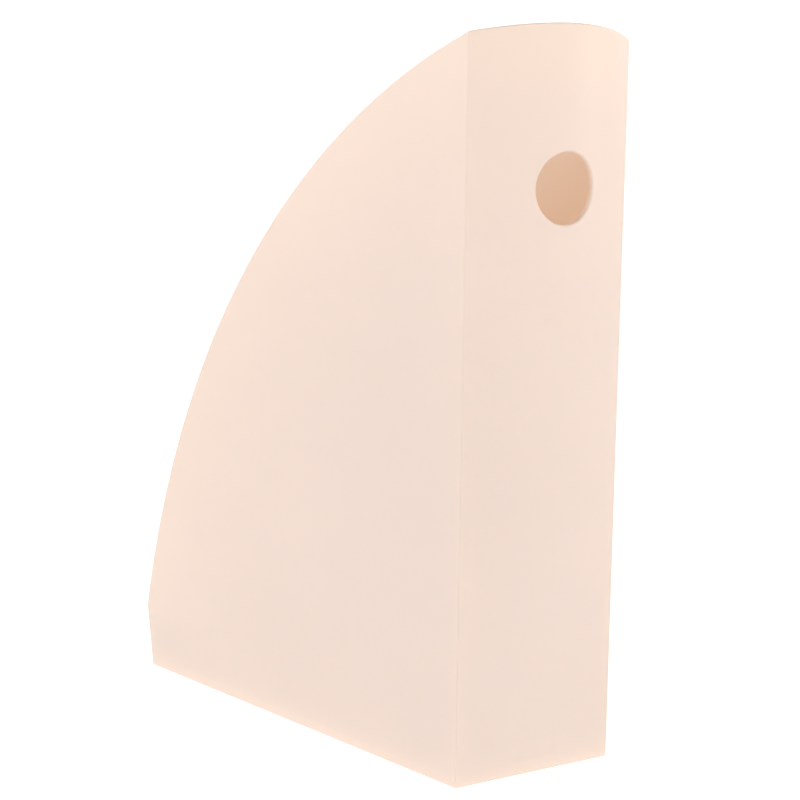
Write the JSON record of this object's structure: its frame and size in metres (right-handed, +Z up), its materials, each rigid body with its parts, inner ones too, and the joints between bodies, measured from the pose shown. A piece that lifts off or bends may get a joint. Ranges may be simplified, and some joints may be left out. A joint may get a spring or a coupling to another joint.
{
  "type": "magazine file",
  "caption": "Open-topped standing magazine file with a bowed spine, a round finger hole, arc-cut side walls and a low leaning front lip.",
  "frame": {"origin": "centre of the bounding box's bottom face, on the surface that the file stands on", "axes": "+Z up, the spine faces -Y, the open end and its lip face +Y, +X to the right when the spine is looked at"},
  "size_m": [0.0862, 0.2974, 0.3191],
  "materials": {
    "shell": "satin moulded polystyrene, pastel peach"
  },
  "bodies": {
    "root": {"spine_wall": "shell", "left_side_wall": "shell", "right_side_wall": "shell", "front_lip": "shell", "floor_panel": "shell"}
  },
  "joints": []
}
